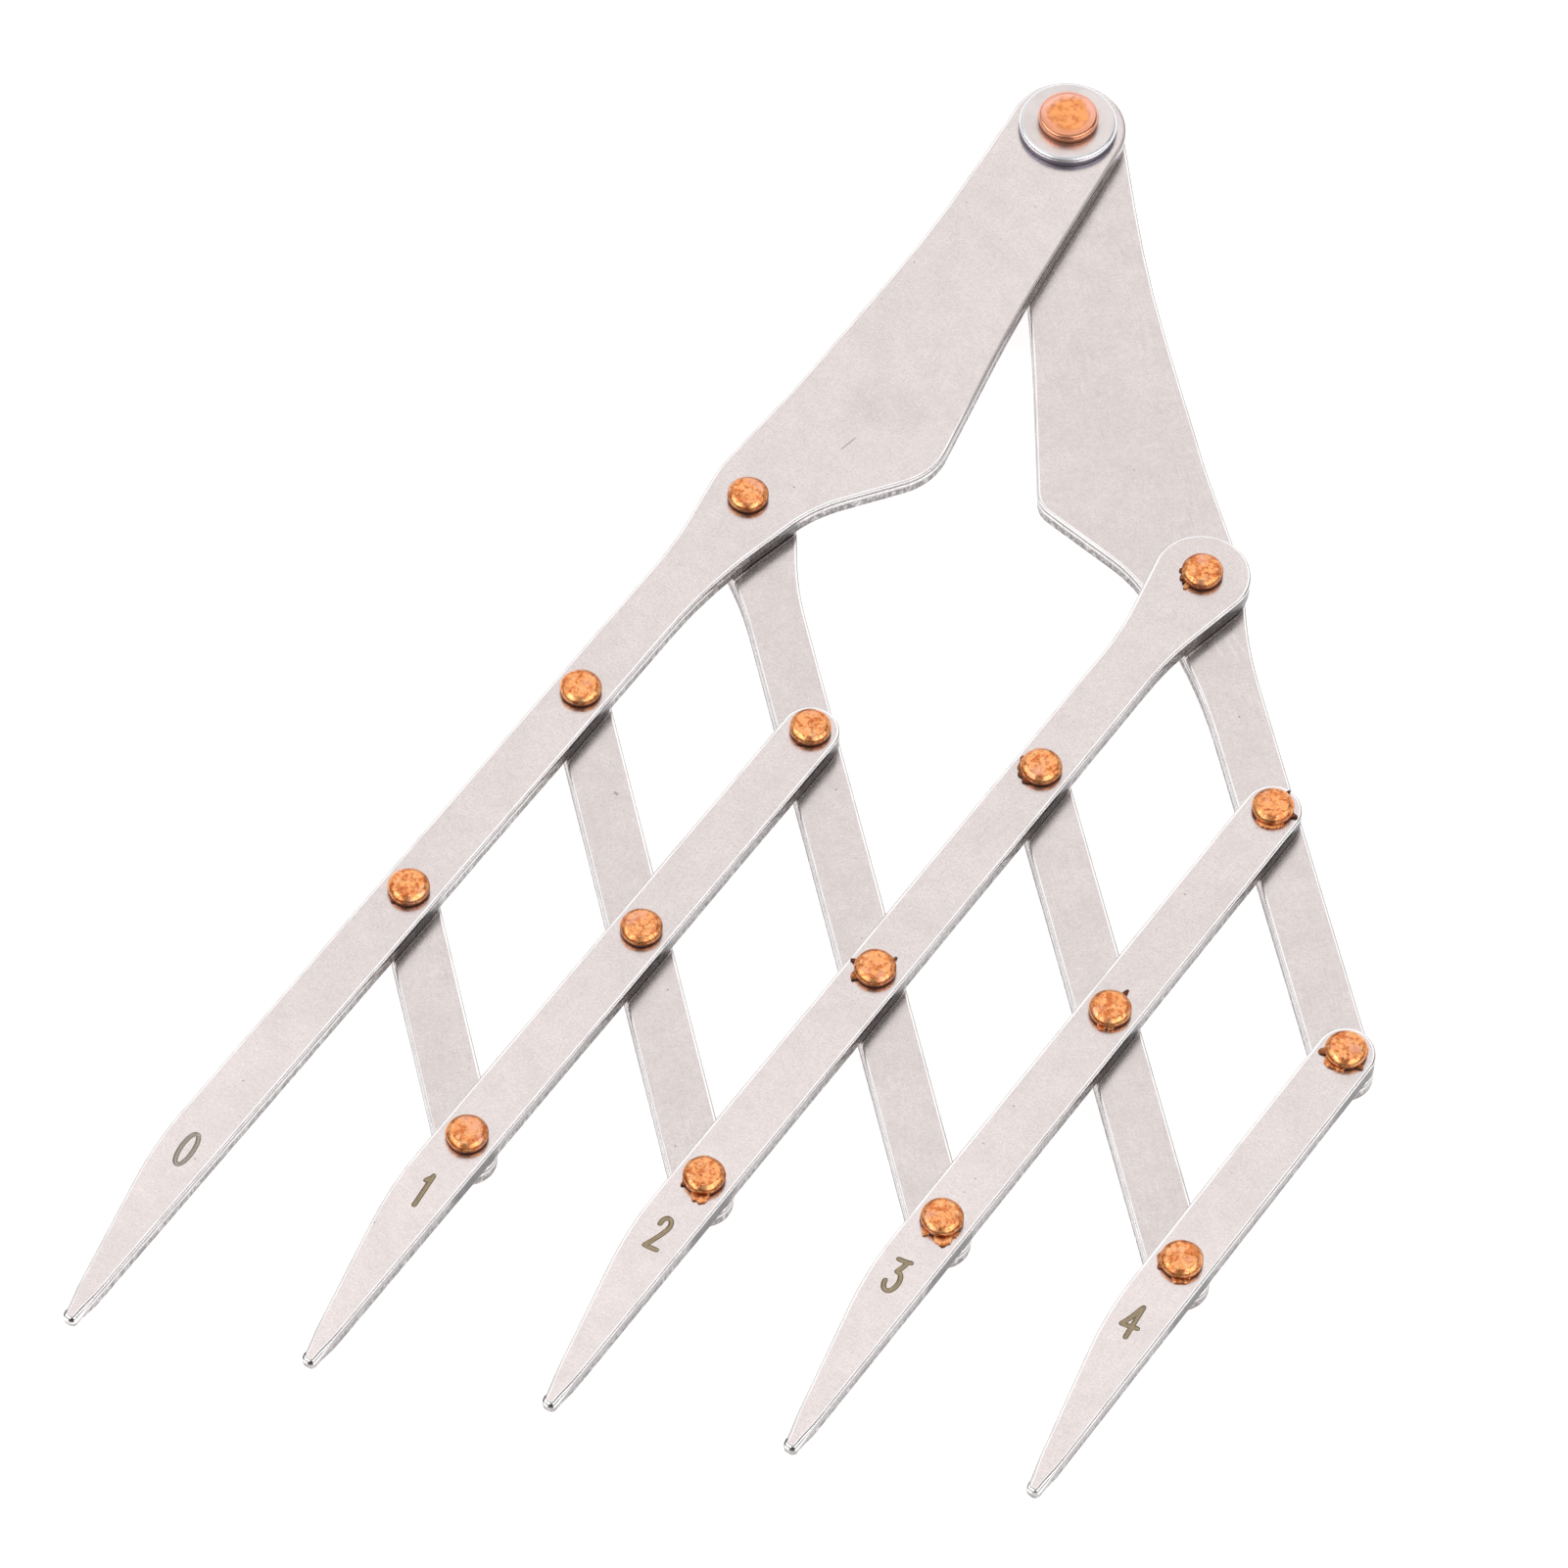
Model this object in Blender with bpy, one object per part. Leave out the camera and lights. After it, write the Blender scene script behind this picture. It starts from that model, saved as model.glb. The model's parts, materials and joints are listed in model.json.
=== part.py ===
# Equal spacing divider: a folding lattice of steel bars on copper rivets.
# Two layers of parallel bars cross each other. The upper layer holds the left arm
# and the four pointers, the lower layer holds the right arm and the four links.
# Lengths are in metres, +Z is up and the points face -Y.
# The origin is the centre of the main rivet's lower head, on the face it rests on.

import math

import bmesh
import bpy
from mathutils import Matrix, Vector

for oldObject in list(bpy.data.objects):
    bpy.data.objects.remove(oldObject, do_unlink=True)

# Lattice
pivotPitch = 0.025          # from one pivot to the next along a bar
tipSpacing = 0.020          # from one point to the next, as the divider lies
openingAngle = 2 * math.asin(tipSpacing / (2 * pivotPitch))

# Bars
barWidth = 0.00505
plateThickness = 0.0018
edgeChamfer = 0.0003
lugRadius = 0.00425         # round end of the second pointer and of the long link
lugNeckShare = 0.36         # of the pitch, where the lug's sides reach the bar's width
lugNeckRadius = 0.030

# Arms
armEndRadius = 0.0052       # round end at the main rivet
backReach = 0.0035          # from the arm's axis to its outer edge, along the grip
bossReach = 0.0040          # the same at the first small rivet
throatReach = 0.0080        # from the axis to the inner edge, halfway to the heel
heelReach = 0.0118          # from the axis to the corner of the heel
neckReach = 0.00525         # from the axis to the inner edge, below the heel
backAlongShare = 0.64       # places along the arm, in pitches from the main pivot
bossStartShare = 1.51
bossAlongShare = 1.95
bossEndShare = 2.30
neckEndShare = 2.385
neckAlongShare = 1.905
heelAlongShare = 1.54
throatAlongShare = 0.81
backRadius = 0.225
bossStartRadius = 0.050
bossRadius = 0.01625
bossEndRadius = 0.0375
neckEndRadius = 0.050
neckRadius = 0.01375
leftHeelRadius = 0.0063
rightHeelRadius = 0.0028
throatRadius = 0.150

# Points
taperLength = 0.0176        # ground back from the end of the point
taperRadius = 0.035
tipWidth = 0.0012
tipRadius = 0.0005
tipPolish = 0.00045         # width of the rounded-over edge at the very end
tipPolishLength = 0.0012
tipBlendLength = 0.0030

# Rivets and washer
seatGap = 0.0001            # under a rivet head and under the washer
layerGap = 0.00015          # between the two layers of bars
rivetRadius = 0.00125
rivetHeadRadius = 0.00185
rivetHeadHeight = 0.0010
mainRivetRadius = 0.0020
mainHeadRadius = 0.00272
mainLowerHeadRadius = 0.0033
washerRadius = 0.00438
washerThickness = 0.0009
washerChamfer = 0.00018
pivotClearance = 0.00006    # around a shank, in its hole
headFaceShare = 0.86        # flat top of a head, of its radius
headEdgeShare = 0.24        # rounded edge of a head, of its height
headFootShare = 0.94        # foot of a head, of its radius
headBellyShare = 0.45       # height of the widest place, of the head's height

# Levels, from the surface up
lowerBarFloor = rivetHeadHeight + seatGap
upperBarFloor = lowerBarFloor + plateThickness + layerGap
upperBarTop = upperBarFloor + plateThickness
upperSeat = upperBarTop + seatGap    # of the washer and of the small upper heads
mainHeadFloor = upperSeat + washerThickness + seatGap

# Fineness of round shapes
arcStep = math.radians(9)
leastArcSteps = 3
rivetSides = 20
mainRivetSides = 36
washerSides = 48
smoothAngle = math.radians(32)
holeOverrun = 0.0005        # a hole's cutter reaches this far past both faces


# Materials
def metal(name, colour, roughness):
    material = bpy.data.materials.new(name)
    material.use_nodes = True
    shader = material.node_tree.nodes["Principled BSDF"]
    shader.inputs["Base Color"].default_value = (*colour, 1)
    shader.inputs["Roughness"].default_value = roughness
    shader.inputs["Metallic"].default_value = 1
    material.diffuse_color = (*colour, 1)
    return material


steel = metal("satin steel", (0.66, 0.63, 0.61), 0.38)
washerSteel = metal("bright steel", (0.74, 0.73, 0.73), 0.28)
copper = metal("copper", (0.80, 0.33, 0.13), 0.34)


# Outlines. A point is (across, along): along the bar from its first pivot towards the
# points, and across it, positive towards the inner side, where the other arm lies.
def arc(centre, radius, start, end):
    steps = max(leastArcSteps, math.ceil(abs(end - start) / arcStep))
    turns = [start + (end - start) * k / steps for k in range(steps + 1)]
    return [centre + radius * Vector((math.cos(turn), math.sin(turn))) for turn in turns]


def roundEnd(radius, arrivesFrom, leavesTo):
    # The arc about the first pivot, tangent to the lines to its two neighbour corners
    def tangentTurn(corner, side):
        turn = math.atan2(corner.y, corner.x)
        return turn + side * math.acos(radius / corner.length)

    start = tangentTurn(arrivesFrom, -1)
    end = tangentTurn(leavesTo, 1)
    while end > start:
        end -= 2 * math.pi
    return arc(Vector((0, 0)), radius, start, end)


def roundedCorner(before, corner, after, radius):
    # The arc that rounds a corner, held to half of the shorter side beside it
    back = (before - corner).normalized()
    ahead = (after - corner).normalized()
    halfAngle = back.angle(ahead) / 2
    shortSide = min((before - corner).length, (after - corner).length)
    setback = min(radius / math.tan(halfAngle), shortSide / 2)
    fitted = setback * math.tan(halfAngle)
    centre = corner + (back + ahead).normalized() * (fitted / math.sin(halfAngle))
    first = corner + back * setback - centre
    last = corner + ahead * setback - centre
    start = math.atan2(first.y, first.x)
    turn = first.angle_signed(last)
    return arc(centre, fitted, start, start - turn)


def roundedRun(points, radii):
    # Every point but the first and the last is a corner, with its own radius
    run = []
    for k, radius in enumerate(radii, start=1):
        if radius:
            run += roundedCorner(points[k - 1], points[k], points[k + 1], radius)
        else:
            run.append(points[k])
    return run


def at(along, across):
    return Vector((across, along))


def pointEnd(tipAlong):
    # Corners and radii of a ground point, from the bar's outer edge round to its inner edge
    half = barWidth / 2
    slope = (barWidth - tipWidth) / taperLength
    taperStart = at(tipAlong - taperLength, -half)

    def onTaper(distance):
        return at(tipAlong - distance, half - tipWidth - slope * distance)

    points = [
        taperStart,
        onTaper(tipBlendLength),
        onTaper(tipPolishLength),
        onTaper(0),
        at(tipAlong, half),
        at(tipAlong - tipPolishLength, half),
        at(tipAlong - tipBlendLength, half),
    ]
    return points, [taperRadius, 0, 0, tipRadius, tipRadius, 0, 0]


def barEnd(pivotAlong):
    # The full round end of a bar, about its last pivot
    centre = at(pivotAlong, 0)
    return arc(centre, barWidth / 2, math.pi, 0)


def farEnd(length, pointed, before, after):
    # The end of a bar, between its last outer corner and its first inner corner
    if pointed:
        points, radii = pointEnd(length)
        return roundedRun([before, *points, after], radii)
    return barEnd(length)


def plainOutline(length, pointed, endRadius):
    half = barWidth / 2
    if endRadius > half:
        neck = lugNeckShare * pivotPitch
        outer = at(neck, -half)
        inner = at(neck, half)
        far = farEnd(length, pointed, outer, inner)
        start = roundEnd(endRadius, inner, outer)
        outerRun = roundedRun([start[-1], outer, far[0]], [lugNeckRadius])
        innerRun = roundedRun([far[-1], inner, start[0]], [lugNeckRadius])
        return start + outerRun + far + innerRun
    start = arc(at(0, 0), half, 0, -math.pi)
    return start + farEnd(length, pointed, start[-1], start[0])


def armOutline(length, pointed, heelRadius):
    half = barWidth / 2
    outer = [
        at(backAlongShare * pivotPitch, -backReach),
        at(bossStartShare * pivotPitch, -backReach),
        at(bossAlongShare * pivotPitch, -bossReach),
        at(bossEndShare * pivotPitch, -half),
    ]
    inner = [
        at(neckEndShare * pivotPitch, half),
        at(neckAlongShare * pivotPitch, neckReach),
        at(heelAlongShare * pivotPitch, heelReach),
        at(throatAlongShare * pivotPitch, throatReach),
    ]
    outerRadii = [backRadius, bossStartRadius, bossRadius, bossEndRadius]
    innerRadii = [neckEndRadius, neckRadius, heelRadius, throatRadius]
    far = farEnd(length, pointed, outer[-1], inner[0])
    start = roundEnd(armEndRadius, inner[-1], outer[0])
    outerRun = roundedRun([start[-1], *outer, far[0]], outerRadii)
    innerRun = roundedRun([far[-1], *inner, start[0]], innerRadii)
    return start + outerRun + far + innerRun


# Plates: an outline raised to its thickness, its rims chamfered and its pivots bored
def finishMesh(bm, name):
    bmesh.ops.recalc_face_normals(bm, faces=bm.faces[:])
    mesh = bpy.data.meshes.new(name)
    bm.to_mesh(mesh)
    bm.free()
    mesh.shade_smooth()
    mesh.set_sharp_from_angle(angle=smoothAngle)
    return mesh


def addObject(name, mesh, material=None, parent=None):
    obj = bpy.data.objects.new(name, mesh)
    bpy.context.scene.collection.objects.link(obj)
    if material:
        mesh.materials.append(material)
    obj.parent = parent
    return obj


def rimShare(edge, tipAlong):
    # Share of the tip's rounding that a rim edge gets: full at the very end of a point
    plain = edgeChamfer / tipPolish
    if tipAlong is None:
        return plain
    farthest = max(abs(vertex.co.y) for vertex in edge.verts)
    nearest = min(abs(vertex.co.y) for vertex in edge.verts)
    middle = (farthest + nearest) / 2
    fromTip = tipAlong - middle
    blend = (tipBlendLength - fromTip) / (tipBlendLength - tipPolishLength)
    return plain + (1 - plain) * min(1, max(0, blend))


def plateMesh(name, outline, floor, mirrored, tipAlong):
    bm = bmesh.new()
    side = -1 if mirrored else 1
    rim = [bm.verts.new((side * point.x, -point.y, floor)) for point in outline]
    base = bm.faces.new(rim)
    raised = bmesh.ops.extrude_face_region(bm, geom=[base])
    raisedVerts = [item for item in raised["geom"] if isinstance(item, bmesh.types.BMVert)]
    bmesh.ops.translate(bm, verts=raisedVerts, vec=(0, 0, plateThickness))
    weights = bm.edges.layers.float.new("bevel_weight_edge")
    for edge in bm.edges:
        low, high = edge.verts
        if low.co.z == high.co.z:
            edge[weights] = rimShare(edge, tipAlong)
    return finishMesh(bm, name)


def boreCutter(plate, floor, bores):
    bm = bmesh.new()
    depth = plateThickness + 2 * holeOverrun
    for along, radius, sides in bores:
        place = Matrix.Translation((0, -along, floor + plateThickness / 2))
        bmesh.ops.create_cone(bm, cap_ends=True, segments=sides, radius1=radius,
                              radius2=radius, depth=depth, matrix=place)
    cutter = addObject(plate.name + "_bores", finishMesh(bm, plate.name + "_bores"), parent=plate)
    cutter.hide_render = True
    cutter.display_type = "WIRE"
    return cutter


def addPlate(name, outline, floor, mirrored, bores, tipAlong):
    mesh = plateMesh(name, outline, floor, mirrored, tipAlong)
    plate = addObject(name, mesh, steel)
    chamfer = plate.modifiers.new("rim chamfer", "BEVEL")
    chamfer.limit_method = "WEIGHT"
    chamfer.width = tipPolish
    chamfer.segments = 1
    chamfer.use_clamp_overlap = False
    bore = plate.modifiers.new("pivot bores", "BOOLEAN")
    bore.operation = "DIFFERENCE"
    bore.solver = "EXACT"
    bore.object = boreCutter(plate, floor, bores)
    return plate


# Turned pieces: a profile of (radius, height) points, top to bottom, spun about Z
def turnedMesh(name, profile, sides, closed):
    bm = bmesh.new()
    verts = [bm.verts.new((radius, 0, height)) for radius, height in profile]
    pairs = list(zip(verts, verts[1:]))
    if closed:
        pairs.append((verts[-1], verts[0]))
    edges = [bm.edges.new(pair) for pair in pairs]
    bmesh.ops.spin(bm, geom=verts + edges, cent=(0, 0, 0), axis=(0, 0, 1),
                   angle=2 * math.pi, steps=sides, use_merge=True)
    onAxis = [vertex for vertex in bm.verts if vertex.co.xy.length < pivotClearance / 2]
    bmesh.ops.remove_doubles(bm, verts=onAxis, dist=pivotClearance)
    return finishMesh(bm, name)


def headProfile(radius, height, floor, upward):
    # One peened head, from the middle of its flat face down to its foot
    face = floor + height if upward else floor - height
    turn = -1 if upward else 1
    points = [
        (0, face),
        (radius * headFaceShare, face),
        (radius, face + turn * height * headEdgeShare),
        (radius, face + turn * height * (1 - headBellyShare)),
        (radius * headFootShare, floor),
    ]
    return points if upward else points[::-1]


def rivetMesh(name, shank, upperHead, lowerHead, upperFloor, lowerTop, sides):
    top = headProfile(upperHead, rivetHeadHeight, upperFloor, True)
    bottom = headProfile(lowerHead, rivetHeadHeight, lowerTop, False)
    profile = [*top, (shank, upperFloor), (shank, lowerTop), *bottom]
    return turnedMesh(name, profile, sides, closed=False)


def washerMesh(name):
    bore = mainRivetRadius + pivotClearance
    top = upperSeat + washerThickness
    profile = [
        (bore, top),
        (washerRadius - washerChamfer, top),
        (washerRadius, top - washerChamfer),
        (washerRadius, upperSeat + washerChamfer),
        (washerRadius - washerChamfer, upperSeat),
        (bore, upperSeat),
    ]
    return turnedMesh(name, profile, washerSides, closed=True)


# Bars of the lattice: parent bar, the place on it in pitches, own pivots in pitches,
# length in pitches from the first pivot, and whether the bar ends in a point
bars = {
    "left_arm": (None, 0, (0, 2, 3, 4), 6, True),
    "right_arm": ("left_arm", 0, (0, 2, 3, 4), 4, False),
    "long_link": ("left_arm", 2, (0, 1, 2, 3), 3, False),
    "middle_link": ("left_arm", 3, (0, 1, 2), 2, False),
    "short_link": ("left_arm", 4, (0, 1), 1, False),
    "pointer_1": ("long_link", 1, (0, 1, 2), 3, True),
    "pointer_2": ("right_arm", 2, (0, 1, 2, 3), 4, True),
    "pointer_3": ("right_arm", 3, (0, 1, 2), 3, True),
    "pointer_4": ("right_arm", 4, (0, 1), 2, True),
    "right_link": ("pointer_2", 1, (0, 1, 2), 2, False),
}
lowerBars = ("right_arm", "long_link", "middle_link", "short_link", "right_link")
lugBars = ("long_link", "pointer_2")
heelRadii = {"left_arm": leftHeelRadius, "right_arm": rightHeelRadius}

smallRivet = rivetMesh("small rivet", rivetRadius, rivetHeadRadius, rivetHeadRadius,
                       upperSeat, rivetHeadHeight, rivetSides)
smallRivet.materials.append(copper)
placed = {}

for name, (parentName, parentPivot, pivots, pitches, pointed) in bars.items():
    lower = name in lowerBars
    length = pitches * pivotPitch
    if name in heelRadii:
        outline = armOutline(length, pointed, heelRadii[name])
    else:
        endRadius = lugRadius if name in lugBars else barWidth / 2
        outline = plainOutline(length, pointed, endRadius)

    bores = []
    for pivot in pivots:
        isMain = name in heelRadii and pivot == 0
        shank = mainRivetRadius if isMain else rivetRadius
        sides = mainRivetSides if isMain else rivetSides
        bores.append((pivot * pivotPitch, shank + pivotClearance, sides))

    floor = lowerBarFloor if lower else upperBarFloor
    bar = addPlate(name, outline, floor, lower, bores, length if pointed else None)
    if parentName:
        bar.parent = placed[parentName]
        bar.location = (0, -parentPivot * pivotPitch, 0)
        bar.rotation_euler.z = openingAngle if lower else -openingAngle
    else:
        bar.rotation_euler.z = -openingAngle / 2
    placed[name] = bar

    # Each rivet rides on its upper bar
    if not lower:
        small = [pivot for pivot in pivots if (name, pivot) != ("left_arm", 0)]
        for count, pivot in enumerate(small, start=1):
            rivet = bpy.data.objects.new(f"{name}_rivet_{count}", smallRivet)
            bpy.context.scene.collection.objects.link(rivet)
            rivet.parent = bar
            rivet.location = (0, -pivot * pivotPitch, 0)

mainRivet = rivetMesh("main_rivet", mainRivetRadius, mainHeadRadius, mainLowerHeadRadius,
                      mainHeadFloor, rivetHeadHeight, mainRivetSides)
addObject("main_rivet", mainRivet, copper, placed["left_arm"])
addObject("main_washer", washerMesh("main_washer"), washerSteel, placed["left_arm"])
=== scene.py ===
import json
from math import atan2, ceil, copysign, cos, degrees, pi, radians, sin

import bmesh
import bpy
from mathutils import Matrix, Vector, noise


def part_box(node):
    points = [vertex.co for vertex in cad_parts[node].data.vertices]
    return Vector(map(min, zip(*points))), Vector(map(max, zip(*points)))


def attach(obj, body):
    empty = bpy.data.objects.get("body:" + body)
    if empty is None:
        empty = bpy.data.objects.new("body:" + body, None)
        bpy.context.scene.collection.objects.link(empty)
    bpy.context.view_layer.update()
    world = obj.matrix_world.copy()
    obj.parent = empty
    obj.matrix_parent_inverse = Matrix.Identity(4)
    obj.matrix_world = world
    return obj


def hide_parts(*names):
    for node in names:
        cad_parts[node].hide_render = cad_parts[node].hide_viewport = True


# Equal spacing divider: every piece of the frame gets a finer one in its own place.
# Meshes are in metres in the row frame, "place" attributes in millimetres.

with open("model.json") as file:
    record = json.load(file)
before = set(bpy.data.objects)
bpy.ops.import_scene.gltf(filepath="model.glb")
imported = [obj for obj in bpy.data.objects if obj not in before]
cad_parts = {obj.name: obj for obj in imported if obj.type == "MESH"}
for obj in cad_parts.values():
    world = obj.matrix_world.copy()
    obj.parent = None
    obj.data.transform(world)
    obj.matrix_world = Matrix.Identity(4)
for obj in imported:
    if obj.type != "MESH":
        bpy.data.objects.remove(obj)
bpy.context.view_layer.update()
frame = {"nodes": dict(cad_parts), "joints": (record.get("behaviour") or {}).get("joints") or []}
scene = bpy.context.scene
mm = 0.001

bars = {
    "left_arm": dict(layer="upper", pivots=(0, 2, 3, 4), pitches=6, digit="0"),
    "pointer_1": dict(layer="upper", pivots=(0, 1, 2), pitches=3, digit="1"),
    "pointer_2": dict(layer="upper", pivots=(0, 1, 2, 3), pitches=4, digit="2"),
    "pointer_3": dict(layer="upper", pivots=(0, 1, 2), pitches=3, digit="3"),
    "pointer_4": dict(layer="upper", pivots=(0, 1), pitches=2, digit="4"),
    "right_arm": dict(layer="lower", pivots=(0, 2, 3, 4)),
    "long_link": dict(layer="lower", pivots=(0, 1, 2, 3)),
    "middle_link": dict(layer="lower", pivots=(0, 1, 2)),
    "short_link": dict(layer="lower", pivots=(0, 1)),
    "right_link": dict(layer="lower", pivots=(0, 1, 2)),
}

# The lattice as it lies, from the pivots in the record
firstPivot = {"left_arm": Vector((0, 0))}
for joint in frame["joints"]:
    firstPivot[joint["child"][:-len("_body")]] = Vector(joint["pos_m"][:2])
leftRun = firstPivot["middle_link"] - firstPivot["long_link"]
pitch = leftRun.length
halfAngle = atan2(-leftRun.x, -leftRun.y)
barHeading = {
    "upper": Vector((-sin(halfAngle), -cos(halfAngle))),
    "lower": Vector((sin(halfAngle), -cos(halfAngle))),
}
print(f"lattice: pitch {pitch / mm:.2f} mm, half angle {degrees(halfAngle):.2f}")


# Shading: a Wire is a node's output that can be used in sums
class Wire:
    def __init__(self, tree, socket):
        self.tree, self.socket = tree, socket

    def sum(self, operation, *values):
        settings = {"operation": operation}
        return self.tree.node("ShaderNodeMath", settings, dict(enumerate(values)))

    def __add__(self, other):
        return self.sum("ADD", self, other)

    def __radd__(self, other):
        return self.sum("ADD", other, self)

    def __sub__(self, other):
        return self.sum("SUBTRACT", self, other)

    def __rsub__(self, other):
        return self.sum("SUBTRACT", other, self)

    def __mul__(self, other):
        return self.sum("MULTIPLY", self, other)

    def __rmul__(self, other):
        return self.sum("MULTIPLY", other, self)

    def __gt__(self, other):
        return self.sum("GREATER_THAN", self, other)

    def __abs__(self):
        return self.sum("ABSOLUTE", self)

    def whole(self):
        return self.sum("ROUND", self)


class Tree:
    def __init__(self, name, owner=None):
        self.owner = owner or bpy.data.materials.new(name)
        self.owner.use_nodes = True
        self.inner = self.owner.node_tree
        self.inner.nodes.clear()

    def node(self, kind, settings=None, values=None, output=0):
        node = self.inner.nodes.new(kind)
        for key, setting in (settings or {}).items():
            if key == "stops":
                stops = node.color_ramp.elements
                while len(stops) < len(setting):
                    stops.new(1)
                for stop, (position, colour) in zip(stops, setting):
                    stop.position = position
                    stop.color = (*colour, 1)
            else:
                setattr(node, key, setting)
        for key, value in (values or {}).items():
            socket = node.inputs[key]
            if isinstance(value, Wire):
                self.inner.links.new(value.socket, socket)
            elif isinstance(value, tuple) and len(value) == 3 and socket.type == "RGBA":
                socket.default_value = (*value, 1)
            else:
                socket.default_value = value
        return Wire(self, node.outputs[output]) if len(node.outputs) else None

    def share(self, name, output="Fac"):
        return self.node("ShaderNodeAttribute", {"attribute_name": name}, output=output)

    def part(self, vector, axis):
        return self.node("ShaderNodeSeparateXYZ", values={0: vector}, output=axis)

    def vector(self, operation, *values, output="Vector"):
        settings = {"operation": operation}
        return self.node("ShaderNodeVectorMath", settings, dict(enumerate(values)), output)

    def stretch(self, vector, scale):
        return self.vector("MULTIPLY", vector, scale)

    def shift(self, vector, offset):
        return self.vector("ADD", vector, offset)

    def along(self, vector, direction):
        return self.vector("DOT_PRODUCT", vector, direction, output="Value")

    def fromAxis(self, vector):
        return self.vector("LENGTH", self.stretch(vector, (1, 1, 0)), output="Value")

    def cloud(self, vector, scale, detail=2.0, rough=0.5):
        values = {"Vector": vector, "Scale": scale, "Detail": detail, "Roughness": rough}
        return self.node("ShaderNodeTexNoise", values=values)

    def clouds(self, vector, looks, *kinds):
        return [self.cloud(vector, *looks[kind]) for kind in kinds]

    def streaky(self, vector, scale, *pattern):
        return self.cloud(self.stretch(vector, scale), *pattern)

    def band(self, value, low, high, atLow=0.0, atHigh=1.0):
        return self.node("ShaderNodeMapRange", {"interpolation_type": "SMOOTHSTEP"},
                         {0: value, 1: low, 2: high, 3: atLow, 4: atHigh})

    def fade(self, value, low, high):
        return self.band(value, low, high, 1.0, 0.0)

    def stroke(self, place, start, end, width, full=(0.3, 0.7)):
        # a thin line, full in these shares of its width and length
        centre = (Vector(start) + Vector(end)) / 2
        run = Vector(end) - Vector(start)
        half = run.length / 2
        run.normalize()
        moved = self.shift(place, (-centre.x, -centre.y, 0))
        beside, ahead = self.along(moved, (-run.y, run.x, 0)), self.along(moved, (run.x, run.y, 0))
        return (self.fade(abs(beside), width * full[0], width)
                * self.fade(abs(ahead), half * full[1], half))

    def blend(self, factor, first, second, mode="MIX"):
        return self.node("ShaderNodeMix", {"data_type": "RGBA", "blend_type": mode},
                         {0: factor, 6: first, 7: second}, output=2)

    def grey(self, value):
        return self.node("ShaderNodeCombineColor", values={0: value, 1: value, 2: value})

    def base(self, factor, looks):
        self.colour = self.blend(factor, looks["light"], looks["dark"])

    def over(self, factor, colour):
        self.colour = self.blend(factor, self.colour, colour)

    def tint(self, tone):
        self.colour = self.blend(1.0, self.colour, self.grey(tone), "MULTIPLY")

    def metal(self, roughness, relief, bump):    # bump: (strength, depth in metres)
        values = {"Strength": bump[0], "Distance": bump[1], "Height": relief}
        normal = self.node("ShaderNodeBump", values=values)
        shader = self.node("ShaderNodeBsdfPrincipled", values={
            "Base Color": self.colour, "Metallic": 1.0, "Roughness": roughness, "Normal": normal})
        self.node("ShaderNodeOutputMaterial", values={"Surface": shader})
        return self.owner


def finishTree(name):
    tree = Tree(name)
    return tree, tree.share("place", "Vector")


# Noises are (scale, detail, roughness), some after a stretch, pairs the ends of a change.

# Steel faces: tumbled sheet, with marks and streaks above: (start, end, half width, tone)
steelLooks = dict(
    upper=dict(
        light=(0.72, 0.65, 0.636), dark=(0.64, 0.578, 0.565),
        rough=0.25, grain=0.2, fine=0.68, blotch=0.42, brushed=0.22,
        speck=(0.22, 0.2, 0.19), specks=0.9, groundTip=0.09,
        marks=[((3.62, -108.8), (4.0, -110.9), 0.1, 0.55),
               ((3.02, -32.9), (3.12, -32.2), 0.16, 0.6)],
        streaks=[((0.5, -114.0), (8.5, -115.6), 3.2, -0.055)],
    ),
    lower=dict(
        light=(0.694, 0.628, 0.614), dark=(0.622, 0.563, 0.55),
        rough=0.26, grain=0.24, fine=0.62, blotch=0.4, brushed=0.3,
        speck=(0.2, 0.19, 0.19), specks=0.82, groundTip=0,
        marks=[((420.9, 9.5), (421.2, 9.9), 0.2, 0.6)],
        streaks=[((299.6, 55.2), (300.1, 57.6), 0.22, 0.09),
                 ((300.7, 54.9), (301.4, 58.6), 0.2, 0.08),
                 ((301.4, 55.0), (302.1, 57.5), 0.18, 0.08)],
    ),
)
steelPattern = dict(
    fine=(5.0, 3.0, 0.75), grain=(1.7, 3.0, 0.6), blotch=(0.42, 3.0, 0.55),
    drift=(0.085, 1.0), mixed=(0.36, 0.64), lines=((6.0, 0.35, 1.0), 1.0, 3.0, 0.7),
    patches=(0.16, 1.0), patchShift=(40, 7, 3), patchy=(0.46, 0.62),
    tipLight=(-54, -12), tipGround=(-17, -11), groundTone=0.14,
    ground=((0.5, 5.0, 1.0), 1.0, 2.0, 0.7), upperSide=0.9,
    pitScale=0.75, pitSize=(0.035, 0.085), pitDepth=0.75,
    uneven=0.12, brushedRough=0.1, bump=(0.2, 0.00004),
)


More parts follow.
